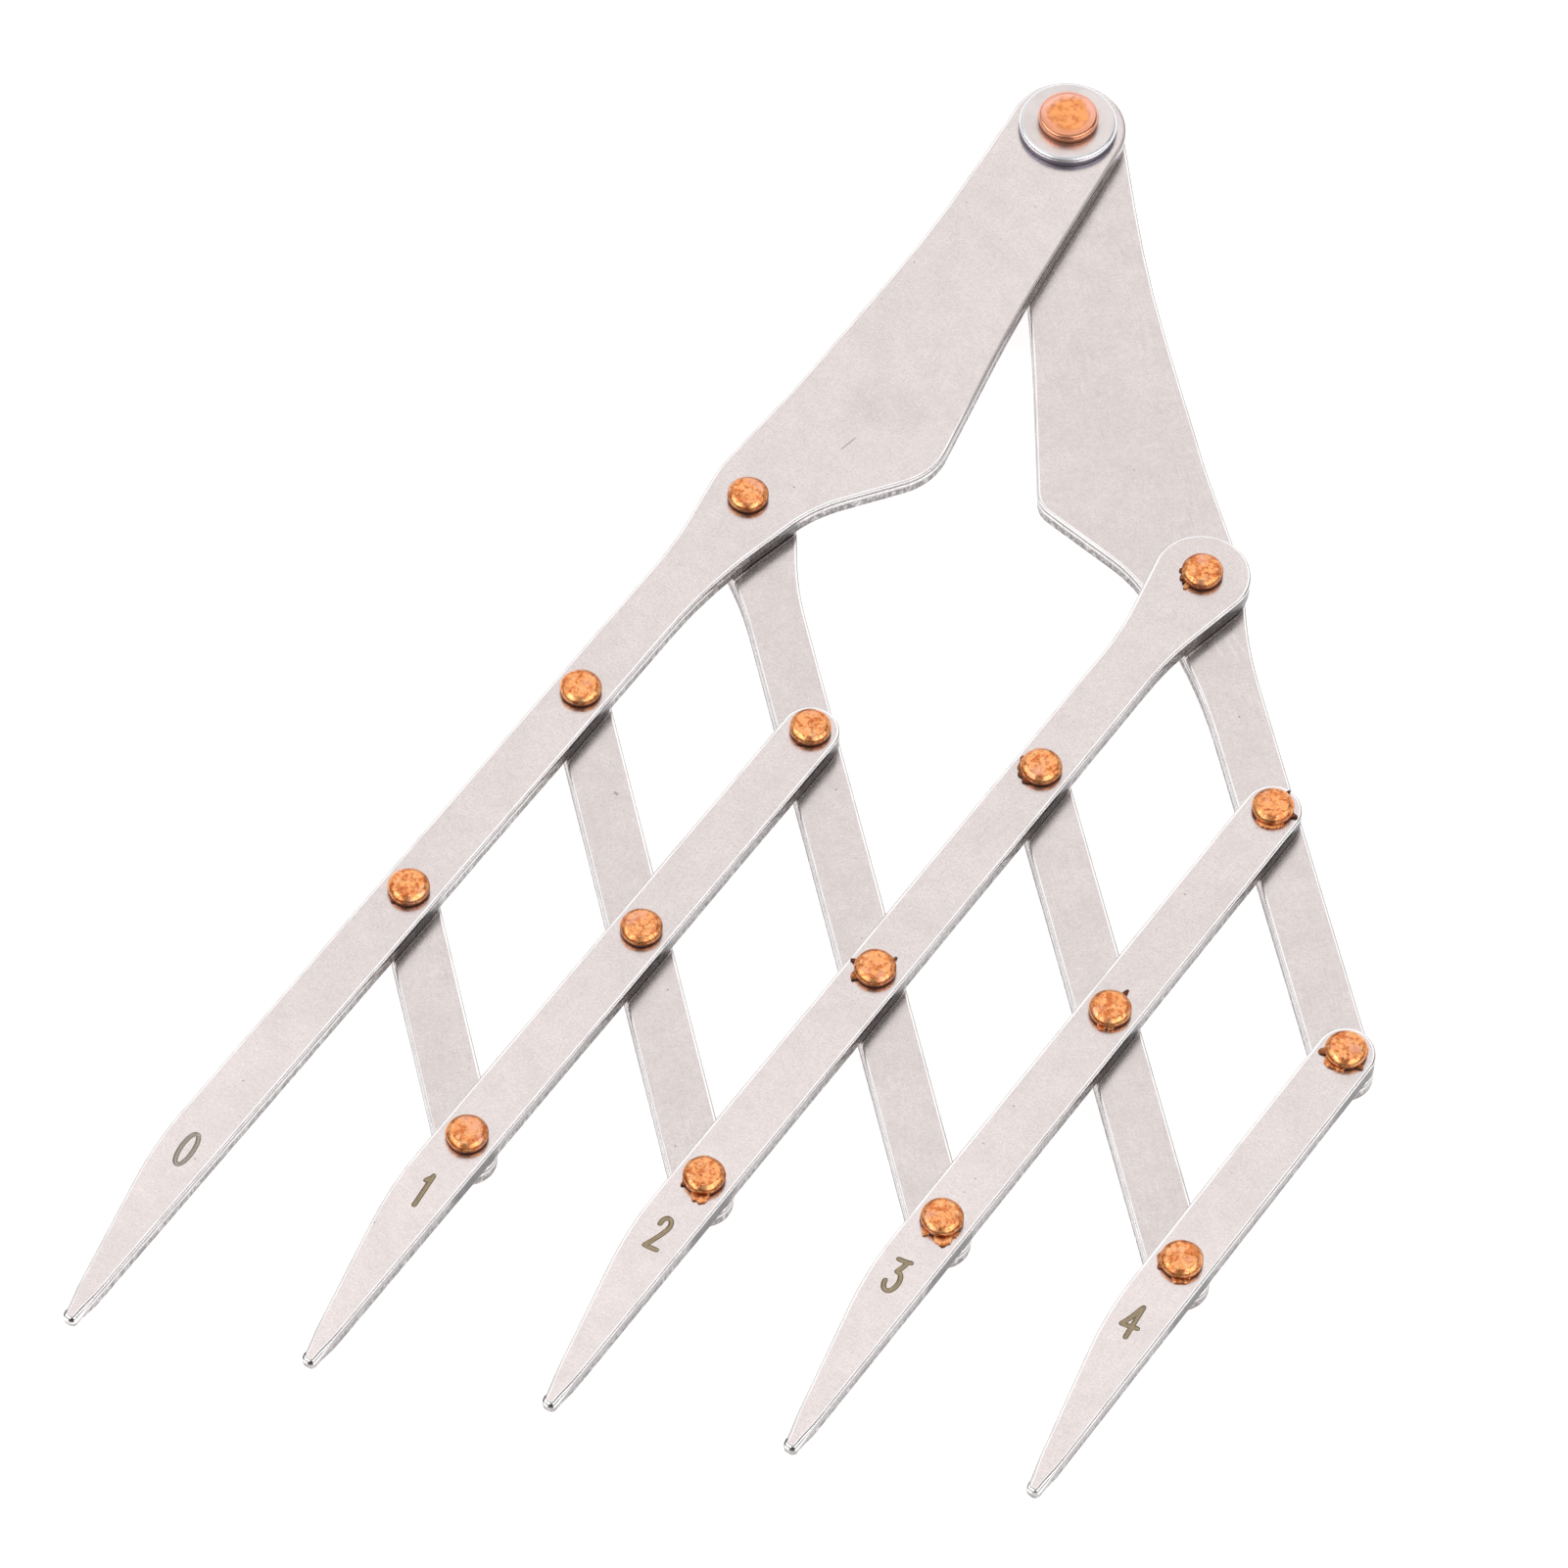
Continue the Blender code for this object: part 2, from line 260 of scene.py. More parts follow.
def steelFace(name, looks, pattern):
    tree, place = finishTree(name)
    fine, grain, blotch, drift = tree.clouds(place, pattern, "fine", "grain", "blotch", "drift")
    mix = tree.band(blotch * 0.6 + drift * 0.4, *pattern["mixed"])
    tree.base(mix * looks["blotch"], looks)

    # brush lines, faint and only in patches
    lines = tree.streaky(place, *pattern["lines"])
    patches = tree.cloud(tree.shift(place, pattern["patchShift"]), *pattern["patches"])
    patches = tree.band(patches, *pattern["patchy"])
    brushed = (lines - 0.5) * patches

    # the tone also changes with grain, brush lines and the ground tips
    tone = 1 + (grain - 0.5) * looks["grain"] + (fine - 0.5) * looks["fine"]
    tone = tone + brushed * looks["brushed"]
    if looks["groundTip"]:
        tipward = tree.part(place, "Y")
        tone = tone + tree.band(tipward, *pattern["tipLight"]) * looks["groundTip"]
        ground = tree.streaky(place, *pattern["ground"]) - 0.5
        ground = ground * tree.band(tipward, *pattern["tipGround"])
        tone = tone + ground * pattern["groundTone"]
    above = tree.part(place, "Z") > pattern["upperSide"]
    for start, end, width, lift in looks["streaks"]:
        tone = tone + tree.stroke(place, start, end, width) * above * lift
    tree.tint(tone)

    # a few small dark pits
    cells = {"Vector": place, "Scale": pattern["pitScale"]}
    reach = tree.node("ShaderNodeTexVoronoi", {"feature": "F1"}, cells)
    chance = tree.node("ShaderNodeTexVoronoi", {"feature": "F1"}, cells, output="Color")
    pit = tree.fade(reach, *pattern["pitSize"]) * (tree.part(chance, "X") > looks["specks"])
    harm = pit * pattern["pitDepth"]
    for start, end, width, depth in looks["marks"]:
        harm = harm + tree.stroke(place, start, end, width) * above * depth
    tree.over(harm, looks["speck"])

    uneven = pattern["uneven"]
    rough = looks["rough"] + (blotch - 0.5) * uneven + (fine - 0.5) * uneven
    rough = rough + brushed * pattern["brushedRough"]
    relief = grain * 0.4 + fine * 0.45 + lines * patches * 0.5 - harm * 1.2
    return tree.metal(rough, relief, pattern["bump"])


# Places: x counts on by this much from plate to plate, y runs along the bar from its tip or
# first pivot, z up from the plate's floor
plateSpan = 60

# Painted shade on the upper bars' walls, where other bars cross below them
crossingShade = dict(
    colour=(0.13, 0.12, 0.125), amount=0.8, pitch=25, crossing=2.5, reach=(2.2, 4.0),
    ragged=(1.1, 2.0, 0.6), raggedBy=2.4,
    upperBars=(270, 272), tips=(-15, -14),    # none past these
    leftArm=(28, 30), armFrom=(-112, -111), armTo=(-39, -38),    # only these on it
)


def addCrossingShade(tree, place, below):
    across, along, height = (tree.part(place, axis) for axis in "XYZ")
    turn = (along * (1 / crossingShade["pitch"])).whole()
    offset = abs(along - turn * crossingShade["pitch"] - crossingShade["crossing"])
    upper = tree.fade(across, *crossingShade["upperBars"]) * tree.fade(along, *crossingShade["tips"])
    bare = tree.band(along, *crossingShade["armTo"]) + tree.fade(along, *crossingShade["armFrom"])
    bare = bare * tree.fade(across, *crossingShade["leftArm"])
    ragged = offset + (tree.cloud(place, *crossingShade["ragged"]) - 0.5) * crossingShade["raggedBy"]
    # painted shade: the walls darken near each crossing, where a lower bar lies below
    paintedShade = upper * (1 - bare) * tree.band(ragged, *crossingShade["reach"], crossingShade["amount"], 0.0)
    tree.over(paintedShade * tree.fade(height, *below), crossingShade["colour"])


# Rims, polished by the tumbling, with a painted highlight: their colour is near white
rimLooks = dict(
    light=(0.97, 0.94, 0.935), dark=(0.89, 0.852, 0.845), rough=0.22,
    patch=(0.45, 2.0, 0.5), patchy=(0.45, 0.7), fine=(5.0, 2.0, 0.6),
    # the left arm's inner rim is darker and rougher near the rivet
    dull=(0.62, 0.565, 0.555), dullPast=(-123, -115), dullSide=(0, 3),
    # painted dark reflections, two at each point, fainter on pointer 4
    reflectionColour=(0.03, 0.026, 0.022), reflectionDepth=(220, 221, 0.9, 0.45), reflectionAbove=(1.0, 1.1),
    reflectionStrokes=[((1.4, 0.05), (1.3, -0.72), 0.2), ((2.02, 0.08), (2.42, -0.28), 0.2)],
    # the painted shade at crossings fades out between these heights
    crossingShadeBelow=(0.3, 0.4), bump=(0.1, 0.00002),
)


def rimFinish(name, looks):
    tree, place = finishTree(name)
    across, along, height = (tree.part(place, axis) for axis in "XYZ")
    patch, fine = tree.clouds(place, looks, "patch", "fine")
    tree.base(tree.band(patch, *looks["patchy"]), looks)
    dull = tree.fade(along, *looks["dullPast"]) * tree.band(across, *looks["dullSide"])
    tree.over(dull, looks["dull"])
    tree.tint(1 + (fine - 0.5) * 0.16)
    wrapped = across - (across * (1 / plateSpan)).whole() * plateSpan
    tipPlace = tree.node("ShaderNodeCombineXYZ", values={0: wrapped, 1: along})
    # painted dark reflections near each point
    depth = tree.band(across, *looks["reflectionDepth"]) * tree.band(height, *looks["reflectionAbove"])
    for start, end, width in looks["reflectionStrokes"]:
        tree.over(tree.stroke(tipPlace, start, end, width) * depth, looks["reflectionColour"])
    # painted shade on the rim where bars cross below
    addCrossingShade(tree, place, looks["crossingShadeBelow"])
    rough = looks["rough"] + (patch - 0.5) * 0.16 + dull * 0.18
    return tree.metal(rough, fine, looks["bump"])


# Sheared edges: bands of tone from the floor up, torn and speckled below, with a painted dark
# reflection line under the rim
edgeLooks = dict(
    bands=[(0.0, (0.3, 0.28, 0.28)), (0.1, (0.4, 0.378, 0.376)),
           (0.22, (0.48, 0.456, 0.452)), (0.5, (0.52, 0.496, 0.492)),
           (0.6, (0.6, 0.575, 0.57)), (0.67, (0.88, 0.85, 0.845)),
           # from 0.81 to 0.88: the painted dark reflection line under the rim
           (0.77, (0.86, 0.83, 0.825)), (0.81, (0.24, 0.224, 0.226)),
           (0.88, (0.26, 0.242, 0.242)), (0.93, (0.62, 0.595, 0.59))],
    # the short pointers' walls show no bright line
    even=(0.4, 0.38, 0.38), evenFrom=(30, 32), evenTo=(270, 272, 0.8, 0.0), evenBelow=(1.5, 1.62),
    pit=(0.23, 0.214, 0.214), pitted=(0.44, 0.56, 0.85, 0.0),
    fleck=(0.78, 0.755, 0.75), flecked=(0.54, 0.66, 0.0, 0.8),
    wave=((0.5, 0.5, 0.0), 1.0, 3.0, 0.6), ripple=((1.0, 1.0, 0.0), 2.2, 2.0, 0.6),
    crumbs=((1.0, 1.0, 0.6), 3.0, 3.0, 0.75), streaks=((3.4, 3.4, 0.4), 1.0, 2.0, 0.6),
    streakTone=0.7, smoothRough=0.18, tornRough=0.3, tornBelow=(0.92, 1.08), thick=1.8,
    # the painted shade at crossings fades out between these heights
    crossingShadeBelow=(1.55, 1.68), bump=(0.6, 0.00008),
)


def steelEdge(name, looks):
    tree, place = finishTree(name)
    across, height = tree.part(place, "X"), tree.part(place, "Z")
    wave, ripple, crumbs, streaks = (tree.streaky(place, *looks[kind])
                                     for kind in ("wave", "ripple", "crumbs", "streaks"))
    level = (height + (wave - 0.5) * 0.16 + (ripple - 0.5) * 0.08) * (1 / looks["thick"])
    tree.colour = tree.node("ShaderNodeValToRGB", {"stops": looks["bands"]}, {0: level})
    even = tree.band(across, *looks["evenFrom"]) * tree.band(across, *looks["evenTo"])
    even = even * tree.fade(height, *looks["evenBelow"])
    tree.over(even, looks["even"])
    torn = tree.fade(height + (wave - 0.5) * 0.4, *looks["tornBelow"])
    tree.over(torn * tree.band(crumbs, *looks["pitted"]), looks["pit"])
    tree.over(torn * tree.band(crumbs, *looks["flecked"]), looks["fleck"])
    # painted shade on the wall where bars cross below
    addCrossingShade(tree, place, looks["crossingShadeBelow"])
    tree.tint(1 + (streaks - 0.5) * looks["streakTone"])
    rough = looks["smoothRough"] + torn * (looks["tornRough"] - looks["smoothRough"])
    return tree.metal(rough, crumbs * torn + streaks * 0.5, looks["bump"])


# Engraved numbers: olive brown grooves, darker at their edges
grooveLooks = {
    "engraving": {"light": (0.45, 0.365, 0.245), "dark": (0.175, 0.13, 0.078)},
    "grey engraving": {"light": (0.5, 0.435, 0.38), "dark": (0.26, 0.212, 0.18)},    # the 0
}
groovePattern = dict(
    cloud=(2.2, 3.0, 0.6), fine=(9.0, 2.0), rising=(1.69, 1.79), mixed=(0.25, 0.75),
    rough=0.5, bump=(0.3, 0.00003),
)


def grooveFinish(name, looks, pattern):
    tree, place = finishTree(name)
    cloud, fine = tree.clouds(place, pattern, "cloud", "fine")
    rise = tree.band(tree.part(place, "Z"), *pattern["rising"])
    mix = tree.band(cloud * 0.5 + rise * 0.6, *pattern["mixed"])
    tree.base(mix, looks)
    rough = pattern["rough"] + (fine - 0.5) * 0.2
    return tree.metal(rough, fine, pattern["bump"])


# Copper: hammered, brown at the foot of each head
copperLooks = dict(
    light=(0.985, 0.425, 0.165), dark=(0.7, 0.2, 0.062), rough=0.3,
    hammer=(1.0, 3.0, 0.6), spots=(2.6, 3.0, 0.65), mixed=(0.47, 0.57),
    # patches: colour, shift, noise, where they start and end, strength
    patches=[((0.33, 0.08, 0.032), None, (3.2, 3.0, 0.6), (0.57, 0.65), 0.8),
             ((0.99, 0.585, 0.3), (3, 17, 9), (2.1, 2.0), (0.54, 0.7), 0.6),
             ((0.86, 0.43, 0.29), (31, 5, 9), (0.55, 2.0), (0.56, 0.7), 0.6)],
    foot=(0.15, 0.05, 0.028), stained=(0.35, 0.9), bump=(0.7, 0.00008),
)


def copperFinish(name, looks):
    tree, place = finishTree(name)
    hammer, spots = tree.clouds(place, looks, "hammer", "spots")
    mix = tree.band(hammer * 0.45 + spots * 0.55, *looks["mixed"])
    tree.base(mix, looks)
    for patch, shift, pattern, edge, strength in looks["patches"]:
        cloud = tree.cloud(tree.shift(place, shift) if shift else place, *pattern)
        tree.over(tree.band(cloud, *edge) * strength, patch)
    stain = tree.band(tree.share("foot") + (spots - 0.5) * 0.2, *looks["stained"])
    tree.over(stain, looks["foot"])
    rough = looks["rough"] + (spots - 0.5) * 0.2 + stain * 0.2
    relief = (hammer * 0.8 + spots * 0.5) * (0.15 + tree.share("struck"))
    return tree.metal(rough, relief, looks["bump"])


# The main rivet's upper head: a rose ring about a sunken disc. Sides are (direction, the ends
# of a change along it).
ringLooks = dict(
    ring=(0.975, 0.51, 0.395), ringShaded=(0.86, 0.37, 0.215), shadedSide=((0.1, -1.0, 0), (-0.8, 1.8)),
    disc=(0.96, 0.39, 0.148), discDeep=(0.72, 0.25, 0.09), mixed=(0.46, 0.62),
    discEdge=(1.51, 2.11), wavy=(0.7, 1.0), wavyBy=0.9,
    border=(0.5, 0.19, 0.085), borderRadius=1.7856, borderWidth=(0.02, 0.4),
    borderSide=((-0.6, 0.8, 0), (-1.6, 1.6, 0.3, 0.95)), broken=(0.3, 0.62, 0.0, 0.6),
    foot=(0.36, 0.15, 0.085), stained=(0.2, 0.8), rough=0.28,
    hammer=(1.0, 3.0, 0.65), spots=(1.5, 2.0, 0.6), bump=(0.45, 0.00006),
)


def ringFinish(name, looks, centre):
    tree, place = finishTree(name)
    local = tree.shift(place, (-centre[0], -centre[1], 0))

    def towards(side):
        return tree.band(tree.along(local, looks[side][0]), *looks[side][1])

    hammer, spots = tree.clouds(place, looks, "hammer", "spots")
    edge = tree.fromAxis(local) + (tree.cloud(place, *looks["wavy"]) - 0.5) * looks["wavyBy"]
    # painted shade: the ring is darker and more orange towards its front, pale rose at its back
    ring = tree.blend(towards("shadedSide"), looks["ring"], looks["ringShaded"])
    mix = tree.band(hammer * 0.5 + spots * 0.5, *looks["mixed"])
    disc = tree.blend(mix, looks["disc"], looks["discDeep"])
    tree.colour = tree.blend(tree.fade(edge, *looks["discEdge"]), ring, disc)

    # the border is browner towards the upper left
    near = tree.fade(abs(edge - looks["borderRadius"]), *looks["borderWidth"])
    brown = near * towards("borderSide") * tree.band(spots, *looks["broken"])
    tree.over(brown, looks["border"])
    stain = tree.band(tree.share("foot"), *looks["stained"])
    tree.over(stain, looks["foot"])
    rough = looks["rough"] + (spots - 0.5) * 0.2 + stain * 0.2
    relief = (hammer + spots * 0.3) * (0.1 + tree.share("struck"))
    return tree.metal(rough, relief, looks["bump"])


# The washer: a painted highlight on its rim, over a side painted dark blue-grey as shade
washerLooks = dict(
    light=(0.765, 0.7, 0.686), dark=(0.7, 0.64, 0.627), patchy=(0.35, 0.65),
    rim=(0.96, 0.955, 0.985), highlightFrom=(4.0, 4.1),
    side=(0.26, 0.25, 0.32), sideBelow=(5.34, 5.54), rough=0.34,
    blotch=(0.5, 3.0), fine=(4.0, 3.0, 0.7), rings=(5.0, 2.0), bump=(0.15, 0.00003),
)


def washerFinish(name, looks):
    tree, place = finishTree(name)
    blotch, fine = tree.clouds(place, looks, "blotch", "fine")
    reach = tree.fromAxis(place)
    rings = tree.node("ShaderNodeCombineXYZ", values={0: reach})
    rings = tree.cloud(rings, *looks["rings"])
    tree.base(tree.band(blotch, *looks["patchy"]), looks)
    tree.tint(1 + (fine - 0.5) * 0.18 + (rings - 0.5) * 0.05)
    # painted highlight on the rim
    tree.over(tree.band(reach, *looks["highlightFrom"]), looks["rim"])
    height = tree.part(place, "Z") + (blotch - 0.5) * 0.1
    # painted shade on the side
    tree.over(tree.fade(height, *looks["sideBelow"]), looks["side"])
    rough = looks["rough"] + (blotch - 0.5) * 0.1 + (fine - 0.5) * 0.08
    return tree.metal(rough, fine * 0.4 + rings * 0.4, looks["bump"])


# Turned pieces' places are shifted by their seed, so that no two share a pattern
seedShift, mainSeed = (20, 11), 31

rimSteel = rimFinish("polished rim", rimLooks)
faces = {layer: steelFace(f"satin steel {layer}", looks, steelPattern)
         for layer, looks in steelLooks.items()}
edgeSteel = steelEdge("sheared edge", edgeLooks)
grooves = {name: grooveFinish(name, looks, groovePattern) for name, looks in grooveLooks.items()}
copper = copperFinish("copper", copperLooks)
ringCopper = ringFinish("stamped copper", ringLooks, [step * mainSeed for step in seedShift])
washerSteel = washerFinish("bright steel", washerLooks)
print("finishes: steel faces, sheared edges, engraving, copper, washer")


# Plates
plateShape = dict(
    # (inset, drop) from the face to the wall
    rim=[(0.27, 0), (0.22, 0.005), (0.15, 0.02), (0.09, 0.036), (0.045, 0.06),
         (0.015, 0.1), (0, 0.16)],
    # rounder rims at the points: (width, height), and how far from the tip they reach
    tipAbove=(0.42, 0.42), tipBelow=(0.42, 0.75), tipPolish=1.2, tipBlend=3.0,
    # the wavy ledge where the shearing broke through
    ledge=0.03, ledgeHeight=0.95, ledgeHalf=0.02, wave=0.12, waveLength=2.2,
    support=0.02, arcStep=3.0, straightStep=1.6, sharp=34,
    boreRadius=dict(main=2.06, small=1.31), boreSides=48, overrun=1.0,
    # reading the CAD: normals of wall and bevel, and which chords make one arc
    merge=1e-6, wall=0.2, bevel=(0.3, 0.95), alike=(0.97, 1.03), turn=(0.3, 22),
)


def turnBetween(first, second):
    return (second - first + pi) % (2 * pi) - pi


def finishMesh(bm, name):
    mesh = bpy.data.meshes.new(name)
    bm.to_mesh(mesh)
    bm.free()
    return mesh


def wallLoop(node, shape):
    # the upper edge of the plate's wall, counter-clockwise
    bm = bmesh.new()
    bm.from_mesh(frame["nodes"][node].data)
    bmesh.ops.remove_doubles(bm, verts=bm.verts, dist=shape["merge"])
    lowest, highest = shape["bevel"]
    beside = {}
    for edge in bm.edges:
        if len(edge.link_faces) == 2:
            slopes = sorted(face.normal.z for face in edge.link_faces)
            if abs(slopes[0]) < shape["wall"] and lowest < slopes[1] < highest:
                for here, there in (tuple(edge.verts), tuple(edge.verts)[::-1]):
                    beside.setdefault(here, []).append(there)
    start = next(iter(beside))
    loop = [start, beside[start][0]]
    while True:
        ahead = next(vert for vert in beside[loop[-1]] if vert is not loop[-2])
        if ahead is start:
            break
        loop.append(ahead)
    points = [vert.co.xy.copy() for vert in loop]
    bm.free()
    area = sum(a.x * b.y - a.y * b.x for a, b in zip(points, points[1:] + points[:1]))
    return points if area > 0 else points[::-1]


def fineOutline(points, shape):
    # (point, heading, widening), with finer steps on arcs and short ones on straight edges
    count = len(points)
    chords = [points[(k + 1) % count] - points[k] for k in range(count)]
    headings = [atan2(chord.y, chord.x) for chord in chords]
    turns = [turnBetween(headings[k - 1], headings[k]) for k in range(count)]
    shortest, longest = shape["alike"]
    least, most = (radians(turn) for turn in shape["turn"])

    def arcTurn(k):
        # the turn of the chord's arc, or 0 on a straight edge
        for neighbour, corner in ((k - 1, k), ((k + 1) % count, (k + 1) % count)):
            likeness = chords[neighbour].length / chords[k].length
            if shortest < likeness < longest and least < abs(turns[corner]) < most:
                return turns[corner]
        return 0

    bends = [arcTurn(k) for k in range(count)]
    outline = []
    for k in range(count):
        bend = bends[k]
        if bend:
            steps = max(1, ceil(abs(bend) / radians(shape["arcStep"])))
        else:
            steps = max(1, ceil(chords[k].length / (shape["straightStep"] * mm)))
        before = headings[k - 1] + bends[k - 1] / 2
        start = headings[k] - bend / 2
        gap = turnBetween(before, start)
        outline.append((points[k], before + gap / 2, 1 / cos(gap / 2)))
        for step in range(1, steps):
            share = step / steps
            along = start + bend * share
            if bend:
                radius = chords[k].length / (2 * sin(abs(bend) / 2))
                swing = copysign(pi / 2, bend)
                centre = points[k] + radius * headingAt(start + swing)
                point = centre - radius * headingAt(along + swing)
            else:
                point = points[k].lerp(points[(k + 1) % count], share)
            outline.append((point, along, 1))
    return outline


def headingAt(angle):
    return Vector((cos(angle), sin(angle)))


def rimCurve(shape, blend, size):
    # the plain rim, or a round one of that size where blend is 1
    curve = []
    for k, (inset, drop) in enumerate(shape["rim"]):
        angle = pi / 2 * k / (len(shape["rim"]) - 1)
        curve.append(((inset + (size[0] * (1 - sin(angle)) - inset) * blend) * mm,
                      (drop + (size[1] * (1 - cos(angle)) - drop) * blend) * mm))
    return curve


def plateMesh(name, bar, shape):
    low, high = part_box(name)
    floor, top = low.z, high.z
    outline = fineOutline(wallLoop(name, shape), shape)
    for point, direction, widen in outline:
        point.x = min(max(point.x, low.x), high.x)
        point.y = min(max(point.y, low.y), high.y)
    heading = barHeading[bar["layer"]]
    tip = firstPivot[name] + heading * bar.get("pitches", 1e3) * pitch    # lower bars have none
    support, step, half = (shape[key] * mm for key in ("support", "ledge", "ledgeHalf"))
    rings = []
    for point, direction, widen in outline:
        outward = Vector((sin(direction), -cos(direction))) * widen
        fromTip = (tip - point).dot(heading) / mm
        blend = (shape["tipBlend"] - fromTip) / (shape["tipBlend"] - shape["tipPolish"])
        blend = min(1, max(0, blend))
        above = rimCurve(shape, blend, shape["tipAbove"])
        below = rimCurve(shape, blend, shape["tipBelow"])
        wave = noise.noise(Vector((point.x, point.y, floor)) / (shape["waveLength"] * mm))
        middle = floor + shape["ledgeHeight"] * mm + wave * shape["wave"] * mm
        profile = [(below[0][0] + support, floor)]
        profile += [(max(inset, step), floor + drop) for inset, drop in below]
        profile += [(step, middle - half), (0, middle + half)]
        profile += [(inset, top - drop) for inset, drop in reversed(above)]
        profile.append((above[0][0] + support, top))
        rings.append([(*(point - outward * inset), height) for inset, height in profile])

    bm = bmesh.new()
    levels = len(rings[0])
    verts = [[bm.verts.new(ring[level]) for ring in rings] for level in range(levels)]
    wall = range(len(shape["rim"]), len(shape["rim"]) + 3)
    for level in range(levels - 1):
        for k in range(len(rings)):
            after = (k + 1) % len(rings)
            face = bm.faces.new((verts[level][k], verts[level][after],
                                 verts[level + 1][after], verts[level + 1][k]))
            face.material_index = 1 if level in wall else 2 if 0 < level < levels - 2 else 0
    bm.faces.new(verts[0][::-1])
    bm.faces.new(verts[-1])
    return finishMesh(bm, name)


def makeObject(name, mesh, materials):
    obj = bpy.data.objects.new(name, mesh)
    scene.collection.objects.link(obj)
    for material in materials:
        mesh.materials.append(material)
    return obj


def roundBar(name, path, radius, shape, material):
    # a bar with rounded ends, or a ring where the path closes
    points = [Vector(point) for point in path]
    closed = (points[0] - points[-1]).length < radius / 10
    if closed:
        points.pop()
    count, sides = len(points), shape["sides"]
    stations = []
    for k, point in enumerate(points):
        if closed:
            ahead = points[(k + 1) % count] - points[k - 1]
        else:
            ahead = points[min(k + 1, count - 1)] - points[max(k - 1, 0)]
        stations.append((point, ahead.normalized(), radius))
    if not closed:
        for place, sense in ((0, 1), (-1, -1)):
            point, ahead, _ = stations[place]
            cap = [(point + sense * ahead * back * radius, ahead, share * radius)
                   for back, share in shape["ends"]]
            stations = cap + stations if sense > 0 else stations + cap[::-1]
    bm = bmesh.new()
    rings = []
    for centre, ahead, size in stations:
        side = ahead.cross(Vector((0, 0, 1))).normalized()
        up = side.cross(ahead).normalized()
        rings.append([bm.verts.new(centre + size * (side * cos(turn) + up * sin(turn)))
                      for turn in (2 * pi * k / sides for k in range(sides))])
    pairs = list(zip(rings, rings[1:]))
    if closed:
        pairs.append((rings[-1], rings[0]))
    for one, two in pairs:
        for k in range(sides):
            after = (k + 1) % sides
            bm.faces.new((one[k], one[after], two[after], two[k]))
    if not closed:
        bm.faces.new(rings[0][::-1])
        bm.faces.new(rings[-1])
    bmesh.ops.recalc_face_normals(bm, faces=bm.faces[:])
    return makeObject(name, finishMesh(bm, name), [material])


def cutAway(obj, cutters):
    for cutter in cutters:
        cut = obj.modifiers.new("cut", "BOOLEAN")
        cut.operation = "DIFFERENCE"
        cut.solver = "EXACT"
        cut.material_mode = "TRANSFER"
        cut.object = cutter
    bpy.context.view_layer.update()
    graph = bpy.context.evaluated_depsgraph_get()
    mesh = bpy.data.meshes.new_from_object(obj.evaluated_get(graph))
    assert len(mesh.vertices) > 0.8 * len(obj.data.vertices), f"{obj.name}: lost in the cut"
    obj.modifiers.clear()
    obj.data = mesh
    for cutter in cutters:
        bpy.data.objects.remove(cutter, do_unlink=True)


# Numbers, as strokes of a round cutter (radius, height of its centre above the face) through
# places (right, up), with back and offsets in pitches
digitShape = dict(
    back=0.745, turn=17.5, cutter=(0.265, 0.125), ringCutter=(0.24, 0.112),
    sides=14, ends=[(-0.9, 0.43), (-0.6, 0.8)],    # ends: (back, size) in radii
    curveSteps=6, mostPoints=12,    # a path of more points is a curve already
)
digitOffsets = {"0": (0, 0), "1": (0.001, 0.003), "2": (-0.005, 0), "3": (-0.005, -0.002),
                "4": (-0.012, -0.02)}
zeroShape = dict(middle=0.15, width=0.54, height=1.64, bulge=0.06, points=40)
digitStrokes = {
    "1": [[(0.16, 1.6), (0.16, 0.5), (0.16, -0.5), (0.15, -1.62)],
          [(0.12, 1.34), (-0.05, 1.15), (-0.18, 0.92)]],
    "2": [[(-0.24, 0.78), (-0.2, 1.18), (0.02, 1.52), (0.36, 1.5), (0.57, 1.18), (0.6, 0.72),
           (0.46, 0.2), (0.2, -0.45), (-0.1, -1.1), (-0.36, -1.6)],
          [(-0.36, -1.62), (0.15, -1.62), (0.72, -1.58)]],
    "3": [[(-0.56, 1.4), (-0.2, 1.42), (0.2, 1.46), (0.52, 1.54)],
          [(0.24, 1.36), (0.1, 0.85), (-0.12, 0.28)],
          [(-0.12, 0.26), (0.18, 0.2), (0.4, -0.1), (0.5, -0.6), (0.44, -1.15),
           (0.22, -1.6), (-0.08, -1.74), (-0.38, -1.58), (-0.56, -1.2), (-0.58, -0.92)]],
    "4": [[(0.1, 1.56), (0.09, 0.5), (0.09, -0.6), (0.08, -1.66)],
          [(0.02, 1.4), (-0.26, 0.55), (-0.52, -0.1), (-0.78, -0.62)],
          [(-0.8, -0.66), (-0.1, -0.58), (0.56, -0.48)]],
}


def zeroRing(shape):
    turns = [2 * pi * k / shape["points"] for k in range(shape["points"] + 1)]
    return [(shape["middle"] + shape["width"] * sin(turn),
             shape["height"] * cos(turn) * (1 + shape["bulge"] * sin(turn) ** 2))
            for turn in turns]


digitStrokes["0"] = [zeroRing(zeroShape)]


def smoothPath(points, shape):
    if len(points) > shape["mostPoints"]:
        return points
    curve = []
    for k in range(len(points) - 1):
        a, b, c, d = (Vector(points[min(max(k + j, 0), len(points) - 1)]) for j in (-1, 0, 1, 2))
        for step in range(shape["curveSteps"]):
            t = step / shape["curveSteps"]
            curve.append(0.5 * (2 * b + (c - a) * t + (2 * a - 5 * b + 4 * c - d) * t ** 2
                                + (3 * b - a - 3 * c + d) * t ** 3))
    return [*curve, Vector(points[-1])]


